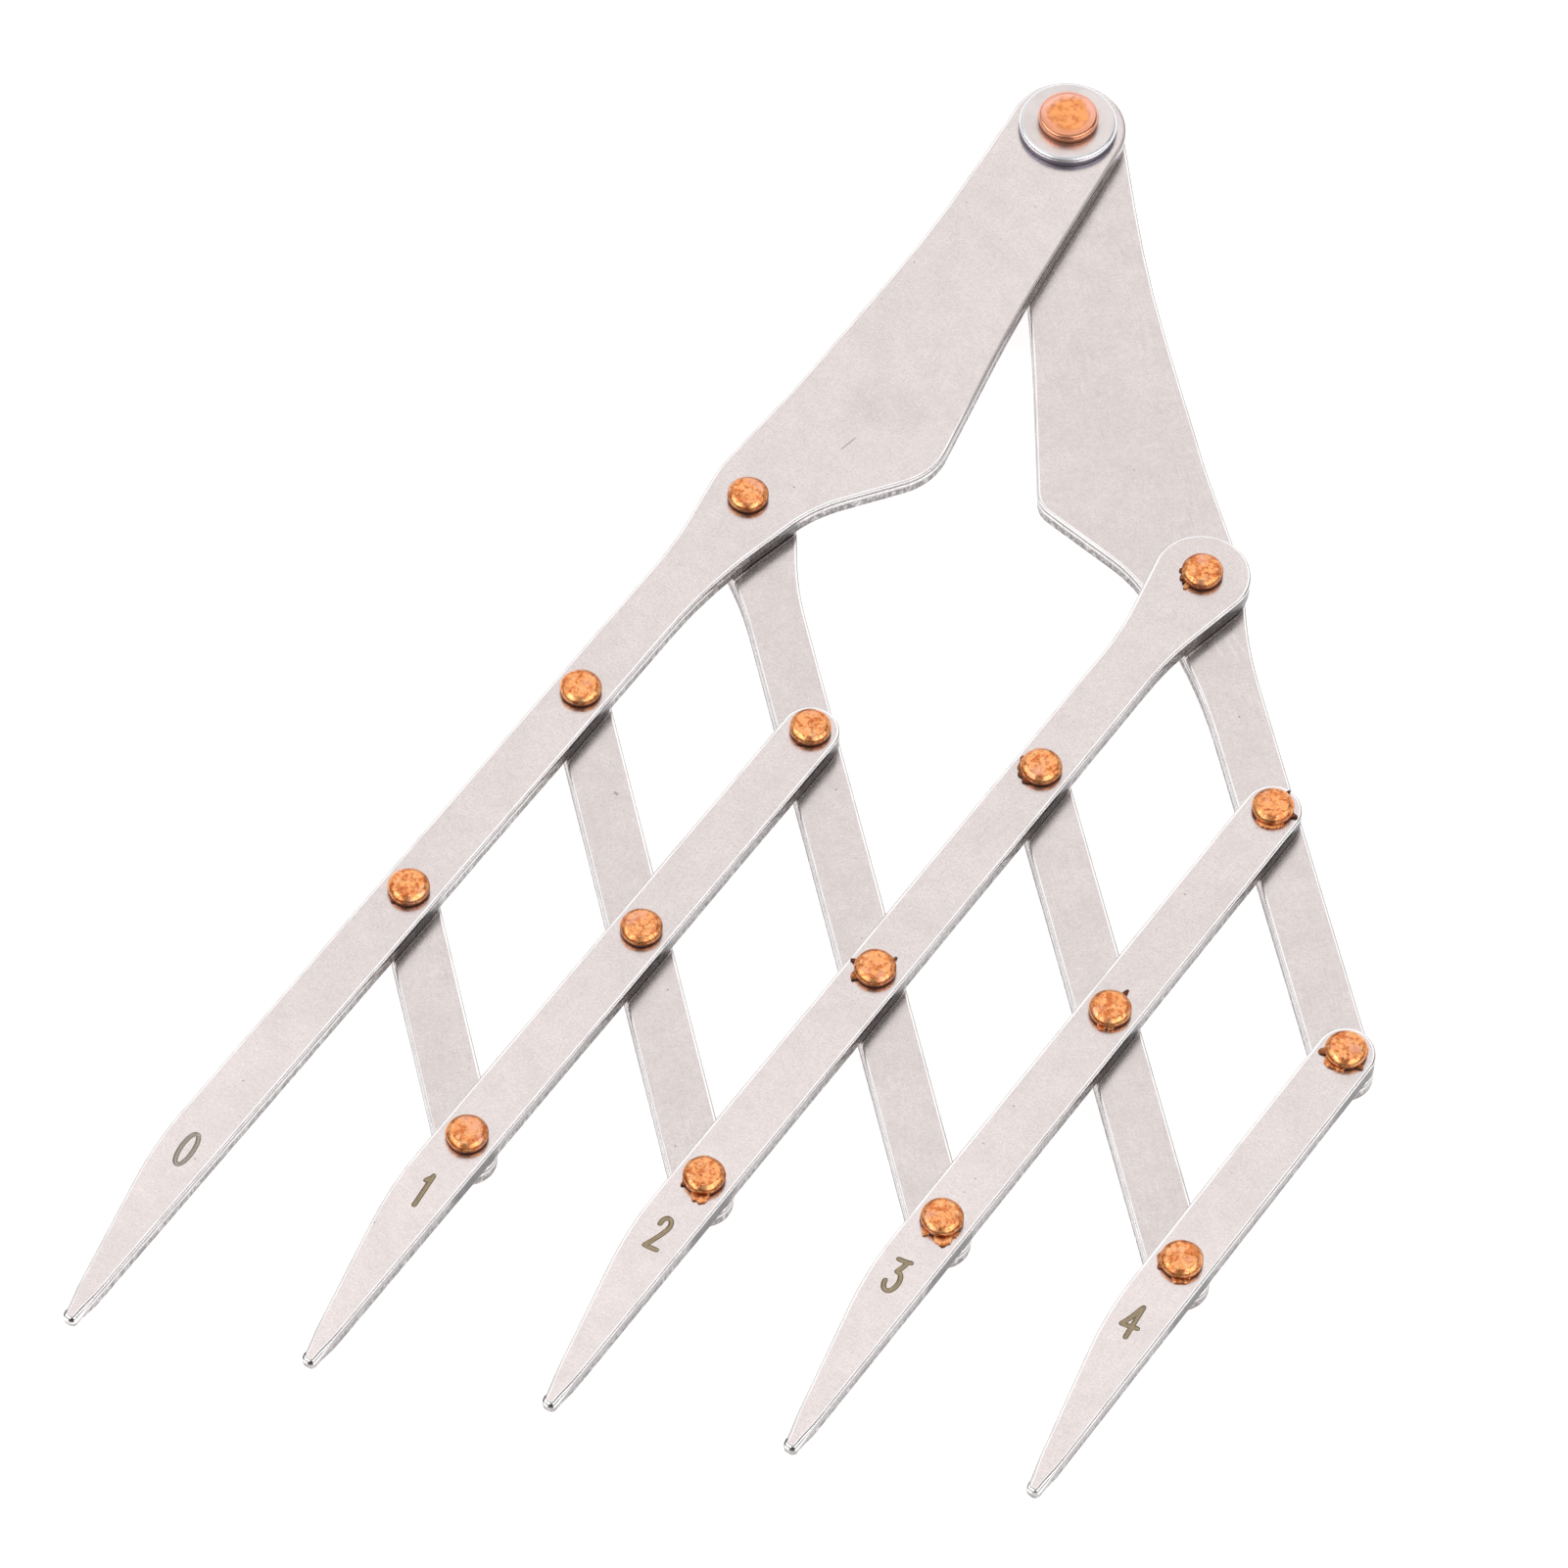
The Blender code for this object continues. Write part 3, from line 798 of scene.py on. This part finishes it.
def digitCutters(name, bar, top, shape):
    heading, digit = barHeading[bar["layer"]], bar["digit"]
    tip = firstPivot[name] + heading * bar["pitches"] * pitch
    middle = tip - heading * shape["back"] * pitch + Vector(digitOffsets[digit]) * pitch
    turn = radians(shape["turn"])
    right = Vector((cos(turn), -sin(turn)))
    up = Vector((sin(turn), cos(turn)))
    radius, lift = shape["ringCutter" if digit == "0" else "cutter"]
    groove = grooves["grey engraving" if digit == "0" else "engraving"]
    cutters = []
    for stroke in digitStrokes[digit]:
        path = [(*(middle + (right * x + up * y) * mm), top + lift * mm)
                for x, y in smoothPath(stroke, shape)]
        cutters.append(roundBar(f"{name}_stroke", path, radius * mm, shape, groove))
    return cutters


def boreCutter(name, centre, radius, floor, top, shape):
    bm = bmesh.new()
    bmesh.ops.create_cone(bm, cap_ends=True, segments=shape["boreSides"], radius1=radius,
                          radius2=radius, depth=top - floor + shape["overrun"] * mm,
                          matrix=Matrix.Translation((*centre, (floor + top) / 2)))
    return makeObject(name, finishMesh(bm, name), [edgeSteel])


def markPlaces(mesh, origin, across, along, offset):
    # millimetres in the piece's own directions
    values = []
    for vert in mesh.vertices:
        local = vert.co - origin
        values += [local.dot(across) / mm + offset[0], local.dot(along) / mm + offset[1],
                   local.z / mm]
    attribute = mesh.attributes.new("place", "FLOAT_VECTOR", "POINT")
    attribute.data.foreach_set("vector", values)


def settle(obj, node, body, sharp):
    obj.data.shade_smooth()
    obj.data.set_sharp_from_angle(angle=radians(sharp))
    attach(obj, body)
    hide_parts(node)


for count, (name, bar) in enumerate(bars.items()):
    low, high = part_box(name)
    heading = barHeading[bar["layer"]]
    plate = makeObject(f"{name}_plate", plateMesh(name, bar, plateShape),
                       [faces[bar["layer"]], edgeSteel, rimSteel])
    cutters = []
    for pivot in bar["pivots"]:
        kind = "main" if name.endswith("arm") and pivot == 0 else "small"
        centre = firstPivot[name] + heading * pivot * pitch
        cutters.append(boreCutter(f"{name}_bore", centre, plateShape["boreRadius"][kind] * mm,
                                  low.z, high.z, plateShape))
    if "digit" in bar:
        cutters += digitCutters(name, bar, high.z, digitShape)
    cutAway(plate, cutters)
    side = Vector((-heading.y, heading.x, 0))
    fromTip = bar.get("pitches", 0) * pitch / mm
    markPlaces(plate.data, Vector((*firstPivot[name], low.z)), side, heading.to_3d(),
               (plateSpan * count, -fromTip))
    settle(plate, name, f"{name}_body", plateShape["sharp"])
print(f"plates: {len(bars)}")


# Turned pieces: rings of (radius, height, dent, foot, flare) from the top down, the last ones
# 0 if left out: depth of the hammering, oxide and share of a burr
forging = dict(
    sharp=50,
    wobble=1.6, large=1.1, small=2.7, smallShare=0.5,    # noise scales
    burr=6, burrLeast=0.95, burrRagged=0.35, burrRound=0.8, burrStain=8, lowerHead=0.5,
)


def turnedMesh(name, rings, sides, seed, wobble, burrs, closed=False):
    bm = bmesh.new()
    shades = bm.verts.layers.float.new("foot")
    struck = bm.verts.layers.float.new("struck")
    rings = [(*ring, 0, 0, 0)[:5] for ring in rings]
    hardest = max(0.001, max(ring[2] for ring in rings))
    drift = Vector((seed * 7.3, seed * 3.1, 0))
    levels = []
    for radius, height, dent, foot, flare in rings:
        up = 1 if height < forging["lowerHead"] else -1
        if radius == 0:
            dip = up * abs(noise.noise(drift)) * dent
            vert = bm.verts.new((0, 0, (height + dip) * mm))
            vert[struck] = dent / hardest
            levels.append([vert])
            continue
        ring = []
        for k in range(sides):
            turn = 2 * pi * k / sides
            out = Vector((cos(turn), sin(turn), 0))
            reach = radius * (1 + wobble * noise.noise(out * forging["wobble"] + drift))
            swell, shade = 0, foot
            for angle, width, length, stain in burrs if flare else ():
                away = abs(turnBetween(turn, radians(angle))) / radians(width)
                if away >= 1:
                    continue
                ragged = noise.noise(out * forging["burr"] + drift) * forging["burrRagged"]
                bulge = length * (1 - away ** 2) ** forging["burrRound"] * flare
                bulge *= forging["burrLeast"] + ragged
                if bulge > swell:
                    swell = bulge
                    shade = foot + (stain - foot) * min(1, bulge * forging["burrStain"])
            dip = noise.noise(out * radius * forging["large"] + drift)
            dip += forging["smallShare"] * noise.noise(out * radius * forging["small"] + drift)
            level = height + up * abs(dip) * dent
            vert = bm.verts.new((*(out.xy * (reach + swell) * mm), level * mm))
            vert[shades] = shade
            vert[struck] = dent / hardest
            ring.append(vert)
        levels.append(ring)
    pairs = list(zip(levels, levels[1:]))
    if closed:
        pairs.append((levels[-1], levels[0]))
    for one, two in pairs:
        for k in range(sides):
            after = (k + 1) % sides
            if len(one) == 1:
                bm.faces.new((one[0], two[k], two[after]))
            elif len(two) == 1:
                bm.faces.new((one[after], one[k], two[0]))
            else:
                bm.faces.new((one[k], two[k], two[after], one[after]))
    bmesh.ops.recalc_face_normals(bm, faces=bm.faces[:])
    return finishMesh(bm, name)


# Rivets, with the burrs squeezed out at each one's foot: (angle, half width, reach, stain)
rivetShape = dict(
    head=1.8, height=1.0, face=0.74, foot=0.965, crown=0.04, dent=0.04,
    wobble=0.022, shank=1.25, sides=120, settle=0.07, clear=0.02,
)
burrs = {
    "left_arm": [[], [(228, 8, 0.08, 0.9)], [(230, 9, 0.18, 0.8)]],
    "pointer_1": [[(247, 10, 0.16, 0.9)], [], []],
    "pointer_2": [
        [(180, 7, 0.32, 0.9), (205, 8, 0.32, 0.8), (234, 8, 0.62, 0.5), (221, 4, 0.38, 0.9)],
        [(158, 16, 0.36, 0.75), (182, 15, 0.3, 0.7), (208, 13, 0.36, 0.85), (234, 13, 0.38, 0.85)],
        [(163, 6, 0.66, 1.0), (206, 10, 0.4, 0.6), (217, 6, 0.5, 0.8), (46, 5, 0.6, 0.8)],
        [(92, 4, 0.5, 0.55), (211, 6, 0.4, 0.8), (271, 25, 0.84, 0.25)],
    ],
    "pointer_3": [
        [(61, 6, 0.78, 1.0), (-12, 7, 0.56, 1.0), (262, 36, 0.36, 0.3), (296, 16, 0.3, 0.3),
         (212, 14, 0.16, 0.9)],
        [(65, 7, 0.98, 1.0), (82, 16, 0.26, 0.9), (256, 14, 0.32, 0.35), (282, 10, 0.22, 0.4)],
        [(232, 13, 0.46, 0.45), (284, 26, 0.82, 0.25), (318, 11, 0.34, 0.5), (188, 12, 0.12, 0.6)],
    ],
    "pointer_4": [
        [(190, 11, 0.58, 0.7), (230, 26, 0.42, 0.45), (262, 14, 0.28, 0.4), (318, 9, 0.44, 0.7),
         (18, 14, 0.16, 0.3)],
        [(178, 20, 0.36, 0.55), (204, 10, 0.34, 0.7), (279, 27, 0.42, 0.4)],
    ],
}

# A head from its flat face down: shares of the face, shoulder (share of its width, drop),
# belly (radius, share of its height, stain) and foot (share, height, stain, flare)
headShape = dict(
    face=(0.14, 0.28, 0.42, 0.56, 0.7, 0.84, 0.95),
    shoulder=[(0, 0), (0.1, 0.012), (0.22, 0.045), (0.38, 0.1), (0.54, 0.165),
              (0.7, 0.235), (0.82, 0.3), (0.91, 0.37), (0.97, 0.44), (1, 0.52)],
    stainFrom=0.7, stain=0.6,
    belly=(0.997, 0.75, 0.54), waist=(0.02, 0.56, 0.58),    # wider than the foot by the first
    foot=[(1, 0.17, 0.66, 0), (1, 0.12, 0.82, 0.9), (1, 0.05, 1.0, 1), (0.98, 0, 1.0, 0.8)],
)


def headRings(radius, height, face, foot, crown, dent):
    shape = headShape
    rings = [(0, height, dent, 0, 0)]
    rings += [(radius * face * share, height - crown * share ** 2, dent, 0, 0)
              for share in shape["face"]]
    corner = radius * (1 - face)
    for share, drop in shape["shoulder"]:
        stain = shape["stain"] * max(0, share - shape["stainFrom"]) / (1 - shape["stainFrom"])
        rings.append((radius * face + corner * share, height - crown - drop,
                      dent * max(0, 1 - share * 3) ** 2, stain, 0))
    belly = height - crown - shape["shoulder"][-1][1]
    for wide, (share, level, stain) in ((0, shape["belly"]), (foot, shape["waist"])):
        rings.append((radius * (wide + share), belly * level, 0, stain, 0))
    rings += [(radius * foot * share, level, 0, stain, flare)
              for share, level, stain, flare in shape["foot"]]
    return rings


def headBelow(rings, seat):
    return [(radius, seat - height, dent, foot)
            for radius, height, dent, foot, flare in reversed(rings)]


def finishTurned(node, word, mesh, centre, material, body, seed):
    obj = makeObject(f"{node}_{word}", mesh, [material])
    axes = (Vector(axis) for axis in ((0, 0, 0), (1, 0, 0), (0, 1, 0)))
    markPlaces(mesh, *axes, [step * seed for step in seedShift])
    for vert in mesh.vertices:
        vert.co.x += centre.x
        vert.co.y += centre.y
    settle(obj, node, body, forging["sharp"])


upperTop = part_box("left_arm")[1].z / mm
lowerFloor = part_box("right_arm")[0].z / mm

seed = 0
shape = rivetShape
head = headRings(*(shape[key] for key in ("head", "height", "face", "foot", "crown", "dent")))
seatTop, seatFloor = upperTop + shape["clear"], lowerFloor - shape["clear"]
for name, bar in bars.items():
    if bar["layer"] == "lower":
        continue
    pivots = [pivot for pivot in bar["pivots"] if (name, pivot) != ("left_arm", 0)]
    for number, pivot in enumerate(pivots, start=1):
        seed += 1
        node = f"{name}_rivet_{number}"
        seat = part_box(node)[1].z / mm - shape["height"]
        upper = []
        for radius, height, dent, foot, flare in head:
            level = height + seat - (shape["settle"] if height < 0.1 else 0)    # the foot's rings
            upper.append((radius, max(level, seatTop), dent, foot, flare))
        shank = [(shape["shank"], level, 0, 1) for level in (seatTop, seatFloor)]
        rings = upper + shank + headBelow(head, shape["height"])
        flashes = burrs[name][number - 1]
        mesh = turnedMesh(node, rings, shape["sides"], seed, shape["wobble"], flashes)
        centre = firstPivot[name] + barHeading["upper"] * pivot * pitch
        finishTurned(node, "peened", mesh, centre, copper, f"{name}_body", seed)

# The main rivet carries the imprint of the tool that closed it: edge rings are (share of its
# radius, drop in depths, share of the dent), side rings (share of the head, drop, stain)
mainShape = dict(
    head=2.7, shank=2.0, sides=120, dent=0.022, wobble=0.008, imprint=0.68, depth=0.05,
    disc=(0.12, 0.25, 0.38, 0.5, 0.62, 0.74, 0.84, 0.92),
    edge=[(0.965, 1, 1), (1.02, 0.7, 1), (1.08, 0.2, 0.6), (1.14, 0.2, 0.3), (1.22, 0.6, 0)],
    corner=(0.16, 0.38), cornerDrop=0.04, cornerSteps=10,
    side=[(0.998, 0.52, 0.15), (0.99, 0.66, 0.4), (0.975, 0.82, 0.8)], foot=0.96,
    lower=dict(radius=3.3, height=1.0, face=0.86, foot=0.97, crown=0.03), clear=0.02,
)


def quarterTurns(count):
    return [pi / 2 * turn / (count - 1) for turn in range(count)]


shape = mainShape
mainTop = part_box("main_rivet")[1].z / mm
washerLow, washerHigh = (corner.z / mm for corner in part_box("main_washer"))
radius, dent, depth = shape["head"], shape["dent"], shape["depth"]
imprint = shape["imprint"] * radius
cornerWide, cornerHigh = shape["corner"]
head = [(0, mainTop - depth, dent)]
head += [(imprint * share, mainTop - depth, dent) for share in shape["disc"]]
head += [(imprint * share, mainTop - depth * drop, dent * struck)
         for share, drop, struck in shape["edge"]]
head += [(radius * (1 - cornerWide) + radius * cornerWide * sin(angle),
          mainTop - shape["cornerDrop"] - cornerHigh * (1 - cos(angle)))
         for angle in quarterTurns(shape["cornerSteps"])]
head += [(radius * share, mainTop - drop, 0, stain) for share, drop, stain in shape["side"]]
shankTop, shankEnd = washerHigh + shape["clear"], lowerFloor - shape["clear"]
head += [(radius * shape["foot"], shankTop, 0, 1), (shape["shank"], shankTop, 0, 1),
         (shape["shank"], shankEnd, 0, 1)]
lower = headBelow(headRings(*shape["lower"].values(), dent), shape["lower"]["height"])
mesh = turnedMesh("main_rivet", head + lower, shape["sides"], mainSeed, shape["wobble"], [])
finishTurned("main_rivet", "peened", mesh, firstPivot["left_arm"], ringCopper,
             "left_arm_body", mainSeed)

# The washer, with a large upper and a small lower round
washerShape = dict(
    bore=2.06, chamfer=0.1, radius=4.38, round=0.4, roundSteps=7,
    lowRound=0.12, lowSteps=5, lowFlat=0.2, flatOut=(0.6, 1.2), flatIn=(0.3, 0.02),
    dent=0.004, sides=160, seed=3, settle=0.08,
)
shape = washerShape
bore, radius, dent = shape["bore"], shape["radius"], shape["dent"]
soft, lowSoft = shape["round"], shape["lowRound"]
low = washerLow - shape["settle"]
inner, outer = (radius - soft - inset for inset in shape["flatIn"])
rings = [(bore, washerHigh - shape["chamfer"]), (bore + shape["chamfer"], washerHigh)]
rings += [(bore + reach, washerHigh, dent) for reach in shape["flatOut"]]
rings += [(inner, washerHigh, dent), (outer, washerHigh)]
rings += [(radius - soft + soft * sin(angle), washerHigh - soft + soft * cos(angle))
          for angle in quarterTurns(shape["roundSteps"])]
rings += [(radius - lowSoft + lowSoft * cos(angle), low + lowSoft - lowSoft * sin(angle))
          for angle in quarterTurns(shape["lowSteps"])]
rings += [(radius - shape["lowFlat"], low), (bore, low)]
mesh = turnedMesh("main_washer", rings, shape["sides"], shape["seed"], 0.0, [], closed=True)
finishTurned("main_washer", "turned", mesh, firstPivot["left_arm"], washerSteel,
             "left_arm_body", 0)
print("rivets and washer")


# Floor, light and camera
stage = dict(
    floorSize=6.0, floorColour=(0.8, 0.8, 0.8), seenWhite=0.7, mirroredWhite=0.5,
    sky=(0.46,) * 3, front=(0.3,) * 3, aside=(0.05,) * 3,
    horizon=(0.06,) * 3, backHorizon=(0.8,) * 3,
    towardsFront=(0.16, -0.98, 0.1), frontDim=(0.55, 0.98),
    sideTurn=(0.94, 0.342), sideDim=(0.8, 0.93), sideBelow=(0.88, 0.96),
    lowBelow=(0.28, 0.46), behind=(0.06, 0.32), cameraSees=(1, 1, 1),
)

bm = bmesh.new()
half = stage["floorSize"] / 2
corners = ((-half, -half), (half, -half), (half, half), (-half, half))
bm.faces.new([bm.verts.new((x, y, 0)) for x, y in corners])
mesh = finishMesh(bm, "floor")

tree = Tree("pale floor")
seen, glossy, through = (tree.node("ShaderNodeLightPath", output=f"Is {kind} Ray")
                         for kind in ("Camera", "Glossy", "Transmission"))
glow = seen * stage["seenWhite"] + (glossy + through) * stage["mirroredWhite"]
matte = tree.node("ShaderNodeBsdfDiffuse", values={"Color": stage["floorColour"]})
shine = tree.node("ShaderNodeEmission", values={"Color": tree.grey(glow), "Strength": 1.0})
both = tree.node("ShaderNodeAddShader", values={0: matte, 1: shine})
tree.node("ShaderNodeOutputMaterial", values={"Surface": both})
floorPiece = makeObject("floor", mesh, [tree.owner])

world = bpy.data.worlds.new("studio")
scene.world = world
tree = Tree("studio", world)
direction = tree.node("ShaderNodeTexCoord", output="Generated")
height = tree.part(direction, "Z")
dim = tree.band(tree.along(direction, stage["towardsFront"]), *stage["frontDim"])
sky = tree.blend(dim, stage["sky"], stage["front"])
level = tree.vector("NORMALIZE", tree.stretch(direction, (1, 1, 0)))
turnX, turnY = stage["sideTurn"]
sideways = abs(tree.part(level, "X")) * turnX + tree.part(level, "Y") * turnY
side = tree.band(sideways, *stage["sideDim"]) * tree.fade(height, *stage["sideBelow"])
sky = tree.blend(side, sky, stage["aside"])
behind = tree.band(tree.part(direction, "Y"), *stage["behind"])
horizon = tree.blend(behind, stage["horizon"], stage["backHorizon"])
sky = tree.blend(tree.fade(height, *stage["lowBelow"]), sky, horizon)
seen = tree.node("ShaderNodeLightPath", output="Is Camera Ray")
background = tree.node("ShaderNodeBackground", values={
    "Color": tree.blend(seen, sky, stage["cameraSees"]), "Strength": 1.0})
tree.node("ShaderNodeOutputWorld", values={"Surface": background})

lamps = {
    "back_softbox": dict(azimuth=201, elevation=56, distance=1.2, size=(1.6, 1.2), power=4.05),
    "left_softbox": dict(azimuth=-63, elevation=38, distance=1.1, size=(1.45, 0.44), power=4.9),
    "right_softbox": dict(azimuth=66, elevation=38, distance=1.1, size=(1.45, 0.44), power=4.5),
}
aim = Vector((0, -0.07, 0))
for name, lamp in lamps.items():
    data = bpy.data.lights.new(name, "AREA")
    data.shape = "RECTANGLE"
    data.size, data.size_y = lamp["size"]
    data.energy = lamp["power"]
    obj = bpy.data.objects.new(name, data)
    turn, rise = radians(lamp["azimuth"]), radians(lamp["elevation"])
    away = Vector((sin(turn) * cos(rise), -cos(turn) * cos(rise), sin(rise)))
    obj.location = aim + away * lamp["distance"]
    obj.rotation_euler = away.to_track_quat("Z", "Y").to_euler()
    scene.collection.objects.link(obj)

camera = dict(
    lens=212.06, sensor=36.0, azimuth=9.83, elevation=55.853, roll=1.586,
    target=(-0.011693, -0.071392, 0.0), distance=0.79054, clip=(0.05, 20),
)
data = bpy.data.cameras.new("camera")
data.lens = camera["lens"]
data.sensor_width = camera["sensor"]
data.clip_start, data.clip_end = camera["clip"]
view = bpy.data.objects.new("camera", data)
scene.collection.objects.link(view)
turned = (Matrix.Rotation(radians(camera["azimuth"]), 4, "Z")
          @ Matrix.Rotation(radians(90 - camera["elevation"]), 4, "X")
          @ Matrix.Rotation(radians(camera["roll"]), 4, "Z"))
back = turned.to_3x3() @ Vector((0, 0, 1))
position = Vector(camera["target"]) + back * camera["distance"]
view.matrix_world = Matrix.Translation(position) @ turned
scene.camera = view
scene.view_settings.view_transform = "Standard"
print("floor, light and camera")
